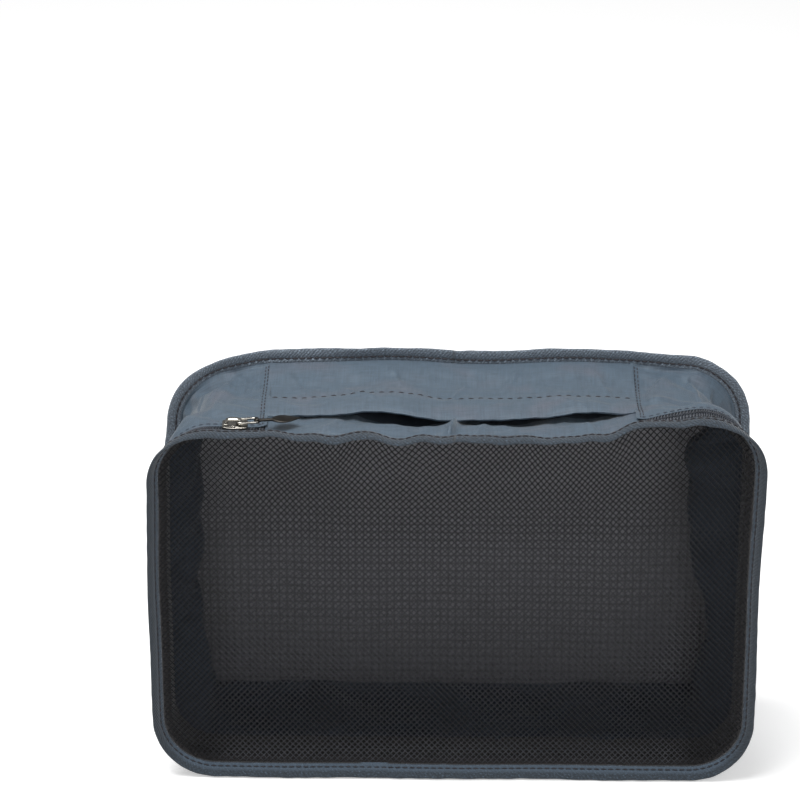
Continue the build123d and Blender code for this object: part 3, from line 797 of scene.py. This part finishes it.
def make_binding(name, flange_at, seed, overlap, material):
    """A folded tape round the whole outline, its ends lapped at overlap."""
    s = np.linspace(0, PERIMETER, 620, endpoint=False)
    section = BINDING_SECTION + [(a, -h) for a, h in BINDING_SECTION[-2::-1]]
    swell = 1 + 0.16 * ripple(s, 0, 13, seed) + 0.1 * ripple(s, 0, 33, seed + 1)
    swell = swell + 0.5 * smooth((s - overlap) / 0.9) * smooth((overlap + 14 - s) / 3)
    width = 1 + 0.05 * ripple(s, 0, 50, seed + 2) + 0.03 * ripple(s, 0, 9, seed + 3)
    grid = np.stack([flange_at(s, a * width, h * swell) for a, h in section], 1)
    uv = np.stack(np.meshgrid(s, distances(section), indexing="ij"), -1).reshape(-1, 2)
    obj = add_mesh(name, grid.reshape(-1, 3), tube_faces(len(s), len(section), closed=True), [material], uv)
    subdivide(obj)
    return obj


def flange_runs(flange_at, along=2.2, half=0.7):
    """A stitch run on each face of a flange, with normals off that face."""
    s = np.linspace(0, PERIMETER, 900)
    faces = [flange_at(s, along, side * half) for side in (1, -1)]
    return [(points, unit(points - flange_at(s, along, 0))) for points in faces]


# ------------------------------------------------------------------ zip


def make_tape(name, y, inset):
    s = np.arange(HINGE_HALF, PERIMETER - HINGE_HALF, 2.5)
    grid_s, grid_y = np.meshgrid(s, y, indexing="ij")
    points = soften(ring_points(grid_s, grid_y, np.broadcast_to(inset, grid_s.shape)))
    return cloth_mesh(name, Sheet(s, y, points), 0.45, ZIP_TAPE, ZIP_TAPE_PAINTED_SHADE)


def make_coil(name, side, phase):
    """One row of the nylon coil: a flattened helix whose heads reach just over the middle line."""
    pitch, per_turn, sides, wire = 1.3, 10, 5, 0.31
    turns = int((PERIMETER - 2 * HINGE_HALF) / pitch)
    t = np.arange(turns * per_turn) / per_turn
    angle = 2 * math.pi * t
    s = HINGE_HALF + pitch * (t + phase)

    def centre(shift):
        a = angle + 2 * math.pi * shift
        y = ZIP_Y + side * (1.5 - 1.15 * np.cos(a))
        rise = 0.95 + 0.75 * np.sin(a) - 0.25 * np.cos(2 * a)
        return soften(ring_points(s + pitch * shift, y, TAPE_INSET - rise))

    middle = centre(0)
    along = unit(centre(0.02) - middle)
    up = unit(np.array([0.0, 1.0, 0.0]) - along * along[:, 1:2])
    turn = ring_angles(sides)[None, :, None]
    section = np.cos(turn) * up[:, None] + np.sin(turn) * np.cross(along, up)[:, None]
    vertices = (middle[:, None] + wire * section).reshape(-1, 3)
    return add_mesh(name, vertices, tube_faces(len(t), sides), [COIL])


# ------------------------------------------------------------------ slider and pull


def box_part(low, high):
    """Vertices and faces of a box."""
    (x0, y0, z0), (x1, y1, z1) = low, high
    points = [(x, y, z) for z in (z0, z1) for y in (y0, y1) for x in (x0, x1)]
    faces = [(0, 2, 3, 1), (4, 5, 7, 6), (0, 1, 5, 4), (2, 6, 7, 3), (0, 4, 6, 2), (1, 3, 7, 5)]
    return np.array(points, float), faces


def plate_part(outline, low, high):
    """Vertices and faces of a flat plate with the given outline."""
    count = len(outline)
    ring = np.array(outline, float)
    points = np.concatenate([np.column_stack([ring, np.full(count, z)]) for z in (low, high)])
    faces = [list(range(count))[::-1], [count + k for k in range(count)]]
    faces += [[k, (k + 1) % count, (k + 1) % count + count, k + count] for k in range(count)]
    return points, faces


def wire_part(path, radius, closed=False, sides=14):
    """Vertices and faces of a round wire along a path in a plane, its ends capped when open."""
    path = np.asarray(path, float)
    along = unit(np.roll(path, -1, 0) - np.roll(path, 1, 0) if closed else np.gradient(path, axis=0))
    flat = unit(np.cross(path[1] - path[0], path[len(path) // 3] - path[0]))
    side = np.cross(along, flat)
    turn = ring_angles(sides)[None, :, None]
    points = path[:, None] + radius * (np.cos(turn) * side[:, None] + np.sin(turn) * flat)
    return points.reshape(-1, 3), tube_faces(len(path), sides, closed)


def metal_piece(name, parts, material, bevel=0):
    """Joins parts into one object, its edges rounded where bevel is above 0."""
    vertices, faces, first = [], [], 0
    for points, part_faces in parts:
        vertices.append(points)
        faces += [[k + first for k in face] for face in part_faces]
        first += len(points)
    obj = add_mesh(name, np.concatenate(vertices), faces, [material])
    if bevel:
        modifier = obj.modifiers.new("edges", "BEVEL")
        modifier.width, modifier.segments, modifier.limit_method = bevel * MM, 3, "ANGLE"
        modifier.angle_limit = math.radians(35)
        modifier.harden_normals = True
    return obj


def fuller(wave, power):
    """A sine or cosine with fuller shoulders, for rounded rectangles."""
    return np.sign(wave) * np.abs(wave) ** power


def make_slider():
    """Slider: shield-shaped top and bottom plates, side rails, post and an arched crown."""
    middle, length = SLIDER_X, SLIDER_HIGH[0] - SLIDER_LOW[0]
    wide = (SLIDER_HIGH[1] - SLIDER_LOW[1]) / 2
    steps = np.linspace(-0.5, 0.5, 22)
    nose = -0.2 * np.cos(2 * math.pi * steps) * (steps < 0)
    half = wide * (0.8 + nose + 0.2 * smooth((steps - 0.05) / 0.3))
    half = half * np.sqrt(np.clip(1 - (np.abs(steps) / 0.535) ** 10, 0, 1))
    side = [(middle + length * a, ZIP_Y + h) for a, h in zip(steps, half)]
    outline = (side + [(x, 2 * ZIP_Y - y) for x, y in side[::-1]])[::-1]
    base, plate_low, plate_high = SLIDER_LOW[2], SLIDER_HIGH[2] - 4.35, SLIDER_HIGH[2] - 3.05
    parts = [plate_part(outline, plate_low, plate_high), plate_part(outline, base, base + 1.2)]
    for sign in (-1, 1):
        edge_y = ZIP_Y + sign * wide
        low_y, high_y = sorted((edge_y, edge_y - sign * 0.75))
        parts.append(box_part((middle - length * 0.34, low_y + 0.05, plate_low - 1.5),
                              (middle + length * 0.42, high_y - 0.05, plate_high - 0.2)))
    parts.append(box_part((middle + length * 0.2, ZIP_Y - 1, base + 0.5),
                          (middle + length * 0.44, ZIP_Y + 1, plate_high - 0.3)))
    turn = np.linspace(0, math.pi, 26)
    reach = fuller(np.cos(turn), 0.55) * 3.3
    rise = np.sin(turn) ** 0.6 * (SLIDER_HIGH[2] - plate_high - 0.72)
    crown = np.stack([middle - 0.6 + reach, np.full(len(turn), ZIP_Y), plate_high + rise], -1)
    points, faces = wire_part(crown, 0.72)
    points[:, 1] = ZIP_Y + (points[:, 1] - ZIP_Y) * 1.75
    parts.append((points, faces))
    for x in (middle - 3.9, middle + 2.7):
        parts.append(box_part((x - 0.9, ZIP_Y - 1.7, plate_high - 0.2),
                              (x + 0.9, ZIP_Y + 1.7, plate_high + 0.35)))
    return metal_piece("zip_slider", parts, CHROME, 0.22)


def pull_axes(start, end):
    """Unit directions along the pull and across it."""
    along = unit(end - start)
    return along, unit(np.cross((0, 0, 1), along))


def make_link(pivot, tab):
    """Closed wire loop, pinched slightly at the waist, from the crown to the tab's barrel."""
    along, across = pull_axes(pivot, tab)
    length = np.linalg.norm(tab - pivot)
    turn = np.linspace(0, 2 * math.pi, 96, endpoint=False)
    x = length / 2 - fuller(np.cos(turn), 0.42) * length / 2
    y = fuller(np.sin(turn), 0.42) * (2.4 - 0.25 * bump_at(x, length / 2, 2.5))
    path = pivot + x[:, None] * along + y[:, None] * across
    return metal_piece("zip_pull_link", [wire_part(path, 0.58, closed=True)], CHROME)


def make_tab(link, pivot):
    """Willow-leaf pull: barrel on the link, slim neck, and a leaf with a raised rib and thin rims."""
    low, high = corners("pull_tab")
    _, across = pull_axes(link, pivot)
    tip = np.array([high[0], pivot[1] + (high[0] - pivot[0]) * -across[0] / across[1], low[2] + 0.75])
    along = unit(tip - pivot)
    up = np.cross(along, across)
    length = np.linalg.norm(tip - pivot)
    rows, columns = 60, 24
    x = 0.4 + (length - 0.4) * np.linspace(0, 1, rows)
    leaf = np.clip((x - 7.0) / (length - 7.0), 0, 1)
    half = 0.95 - 0.15 * smooth(x / 4) + 3.1 * np.sin(math.pi * leaf**0.8) ** 0.85 * (leaf > 0)
    half = np.maximum(half * np.sqrt(np.clip(1 - leaf**14, 0, 1)) * (1 - 0.62 * leaf**3), 0.12)
    angle = ring_angles(columns)
    round_y, round_z = fuller(np.cos(angle), 0.75), fuller(np.sin(angle), 0.6)
    rib = 1 + 0.18 * np.exp(-(np.cos(angle) / 0.25) ** 2)
    thick = 0.62 * (1 - 0.45 * leaf)
    grid = (pivot + x[:, None, None] * along + (half[:, None] * round_y)[..., None] * across
            + (thick[:, None] * round_z * rib)[..., None] * up)
    leaf_part = grid.reshape(-1, 3), tube_faces(rows, columns)
    turn = ring_angles(27)[:, None]
    ring = pivot + 0.98 * (np.cos(turn) * along + np.sin(turn) * up)
    barrel, barrel_faces = wire_part(ring, 0.33, closed=True)
    barrel = barrel + ((barrel - pivot) @ across * 3.6)[:, None] * across
    return metal_piece("zip_pull_tab", [leaf_part, (barrel, barrel_faces)], GUNMETAL)


# ------------------------------------------------------------------ net


CELL_WIDTH, CELL_HEIGHT = 2.75, 3.05
STRAND = 0.56  # width of a strand


def net_surface(x, z):
    """Depth of the net: taut, with slow waves and slack under its top edge."""
    free = smooth((WIDTH / 2 - 8 - np.abs(x)) / 25) * smooth((HEIGHT / 2 - 8 - np.abs(z - HEIGHT / 2)) / 25)
    slack = smooth((z - 110) / 50)
    return SEAM_Y - 0.2 + free * (1.4 * ripple(x, z, 110, 71) + 1.6 * slack * ripple(x, z, 60, 72))


def make_net():
    """Two families of strands that pass over and under each other, each a thin three-sided cord."""
    inset = SEAM_INSET + 0.2
    a, b, r = WIDTH / 2 - inset, HEIGHT / 2 - inset, RADIUS - inset
    reach = int(WIDTH / CELL_WIDTH + HEIGHT / CELL_HEIGHT) + 4
    vertices, faces, first = [], [], 0
    for family in (1, -1):
        direction = np.array([CELL_WIDTH, family * CELL_HEIGHT]) / math.hypot(CELL_WIDTH, CELL_HEIGHT)
        half = np.array([-direction[1], 0, direction[0]]) * (STRAND / 2)
        for line in range(-reach, reach):
            step = np.arange(-reach, reach)
            x = CELL_WIDTH * (step + line) / 2
            z = family * CELL_HEIGHT * (step - line) / 2
            over_x, over_z = np.abs(x) - (a - r), np.abs(z) - (b - r)
            corner = np.hypot(np.maximum(over_x, 0), np.maximum(over_z, 0))
            inside = corner < r
            if inside.sum() < 3:
                continue
            x, z, step = x[inside], z[inside] + HEIGHT / 2, step[inside]
            over = 0.2 * family * (1 - 2 * (step % 2))
            drift = smooth((z - 100) / 60)
            px = x + drift * 2.2 * ripple(x, z, 70, 73)
            pz = z + drift * 2.0 * ripple(x, z, 80, 74)
            centre = soften(np.stack([px, net_surface(px, pz) + over, pz], -1))
            ring = [centre + half, centre - half, centre + np.array([0, -0.42, 0])]
            vertices.append(np.stack(ring[::family], 1).reshape(-1, 3))
            faces += tube_faces(len(x), 3, first=first)
            first += 3 * len(x)
    return add_mesh("net_cloth", np.concatenate(vertices), faces, [NET])


# ------------------------------------------------------------------ assembly


def place(obj, body, slot_name, *nodes):
    """Puts a piece on one body, in place of its CAD nodes."""
    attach(obj, body)
    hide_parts(*nodes)


def place_bent(obj, body, slot_name, start, end, *nodes):
    """Bakes a piece's placement into its mesh and hides the CAD nodes that it replaces."""
    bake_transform(obj)
    if nodes:
        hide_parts(*nodes)


gusset, gusset_piece = make_gusset()
place(gusset_piece, "shell", "nylon", "gusset_band")

fold_start, fold_end = (0, FOLD_Y + FOLD_REACH, 0), (0, FOLD_Y - FOLD_REACH, 0)
place_bent(make_hinge(), "lid", "nylon", fold_start, fold_end, "hinge_panel", "hinge_strip")

handle_halves = make_handle()
for side, _, _, piece in handle_halves:
    nodes = ["handle_band"] if side < 0 else []
    place_bent(piece, "handle", "nylon", (side * HANDLE_HALF, 0, 0), (side * HANDLE_FREE, 0, 0), *nodes)

place(make_back_panel(), "shell", "nylon", "back_panel")

front_binding = make_binding("front_binding_tape", flange, 81, PERIMETER / 2 + 30, FRONT_TAPE)
place(front_binding, "lid", "binding_tape", "front_binding")
back_binding = make_binding("back_binding_tape", back_flange, 85, PERIMETER - 88, BACK_TAPE)
place(back_binding, "shell", "binding_tape", "back_binding")

lid_tape_y = np.concatenate([np.linspace(SEAM_Y - 1.2, SEAM_Y + 1.2, 6),
                             np.linspace(SEAM_Y + 1.8, ZIP_Y - TAPE_GAP, 6)])
lid_tape_inset = TAPE_INSET - (TAPE_INSET - SEAM_INSET) * (1 - smooth((lid_tape_y - SEAM_Y + 0.3) / 1.5))
lid_tape = make_tape("zip_tape_lid_cloth", lid_tape_y, lid_tape_inset)
place(lid_tape, "lid", "zip_tape", "zip_tape_lid")
body_tape = make_tape("zip_tape_body_cloth", np.linspace(ZIP_Y + TAPE_GAP, TAPE_END_Y, 9), TAPE_INSET + 0.1)
place(body_tape, "shell", "zip_tape", "zip_tape_body")
place(make_coil("zip_coil_lid_wire", -1, 0.0), "lid", "zip_coil", "zip_coil_lid")
place(make_coil("zip_coil_body_wire", 1, 0.5), "shell", "zip_coil", "zip_coil_body")

place(make_net(), "lid", "net", "mesh_panel")

front_stitches = stitches("front_binding_stitches", flange_runs(flange), THREAD)
place(front_stitches, "lid", "thread", "front_binding_thread")
back_stitches = stitches("back_binding_stitches", flange_runs(back_flange), THREAD, length=3.0, width=0.7)
place(back_stitches, "shell", "thread", "back_binding_thread")

seam_y = np.linspace(GUSSET_EDGE_Y + 1, BACK_SEAM_Y - 1, 60)
for side, name in LEFT_RIGHT:
    runs = [gusset.at(seam if side > 0 else PERIMETER - seam, seam_y) for seam in END_SEAMS]
    obj = stitches(f"end_seam_stitches_{name}", runs, THREAD, length=2.3, width=0.5, pitch=2.9)
    place(obj, "shell", "thread", f"end_seam_thread_{name}")

for side, name, sheet, _ in handle_halves:
    x = np.linspace(side * 0.5, side * (HANDLE_HALF - 0.5), 120)
    run = sheet.at(x, HANDLE_LOW[1] + HEM)
    obj = stitches(f"hem_stitches_{name}", [run], THREAD, length=2.9, width=0.55, pitch=4.3)
    nodes = ["handle_hem_thread"] if side < 0 else []
    place_bent(obj, "handle", "thread", (side * HANDLE_HALF, 0, 0), (side * HANDLE_FREE, 0, 0), *nodes)

run = gusset.at(np.linspace(HINGE_HALF + 1, PERIMETER - HINGE_HALF - 1, 900), GUSSET_EDGE_Y + 2.0)
place(stitches("zip_seam_stitches", [run], THREAD_LIGHT), "shell", "thread", "zip_seam_thread")

link_pivot, tab_pivot = joint_point("link_swing"), joint_point("tab_swing")
place(make_slider(), "slider", "slider_metal", "slider_body")
place(make_link(link_pivot, tab_pivot), "link", "slider_metal", "pull_link")
place(make_tab(link_pivot, tab_pivot), "tab", "tab_metal", "pull_tab")


# ------------------------------------------------------------------ stage, light and camera


def stage():
    """Pale floor, and a world that is white to the camera but softer as a light."""
    floor = add_mesh("floor", [(-6000, -6000, 0), (6000, -6000, 0), (6000, 6000, 0), (-6000, 6000, 0)],
                     [(0, 1, 2, 3)], [])
    s = Shader("floor_paper")
    glow = s.ramp(s.node("LightPath", {}), 0, 1, 0, 0.4)
    white, paper = (1, 1, 1, 1), (0.93, 0.93, 0.93, 1)
    s.finish(Base_Color=paper, Roughness=0.9, Emission_Color=white, Emission_Strength=glow)
    floor.data.materials.append(s.material)
    world = bpy.data.worlds.new("studio")
    world.use_nodes = True
    nodes, links = world.node_tree.nodes, world.node_tree.links
    seen = nodes.new("ShaderNodeLightPath")
    strength = nodes.new("ShaderNodeMapRange")
    strength.inputs["To Min"].default_value = 0.34
    strength.inputs["To Max"].default_value = 1.0
    links.new(seen.outputs["Is Camera Ray"], strength.inputs["Value"])
    nodes["Background"].inputs["Color"].default_value = white
    links.new(strength.outputs["Result"], nodes["Background"].inputs["Strength"])
    bpy.context.scene.world = world


def area_light(name, where, target, size, power):
    """A square lamp, with sizes in metres and its power in watts."""
    data = bpy.data.lights.new(name, "AREA")
    data.size, data.energy = size, power
    lamp = bpy.data.objects.new(name, data)
    lamp.location = where
    lamp.rotation_euler = (Vector(target) - Vector(where)).to_track_quat("-Z", "Y").to_euler()
    bpy.context.scene.collection.objects.link(lamp)


def camera():
    """Long lens from a little above, aimed so that the cube stands low in the picture."""
    elevation, distance = math.radians(28), 1.68
    aim_across, aim_up = -0.0257, 0.0765  # from the middle of the cube
    data = bpy.data.cameras.new("camera")
    data.sensor_width, data.lens = 36, 162.5
    cam = bpy.data.objects.new("camera", data)
    centre = Vector((0, 0, HEIGHT / 2 * MM))
    back = Vector((0, -math.cos(elevation), math.sin(elevation)))
    up = Vector((0, math.sin(elevation), math.cos(elevation)))
    cam.location = centre + back * distance
    aim = centre + Vector((aim_across, 0, 0)) + up * aim_up
    cam.rotation_euler = (aim - cam.location).to_track_quat("-Z", "Y").to_euler()
    bpy.context.scene.collection.objects.link(cam)
    bpy.context.scene.camera = cam


stage()
area_light("key", (-0.25, -0.15, 1.3), (0, 0, 0.1), size=0.7, power=15)
area_light("fill", (0.6, -1.2, 0.9), (0, 0, 0.1), size=0.9, power=4.5)
camera()
bpy.context.scene.view_settings.view_transform = "Standard"
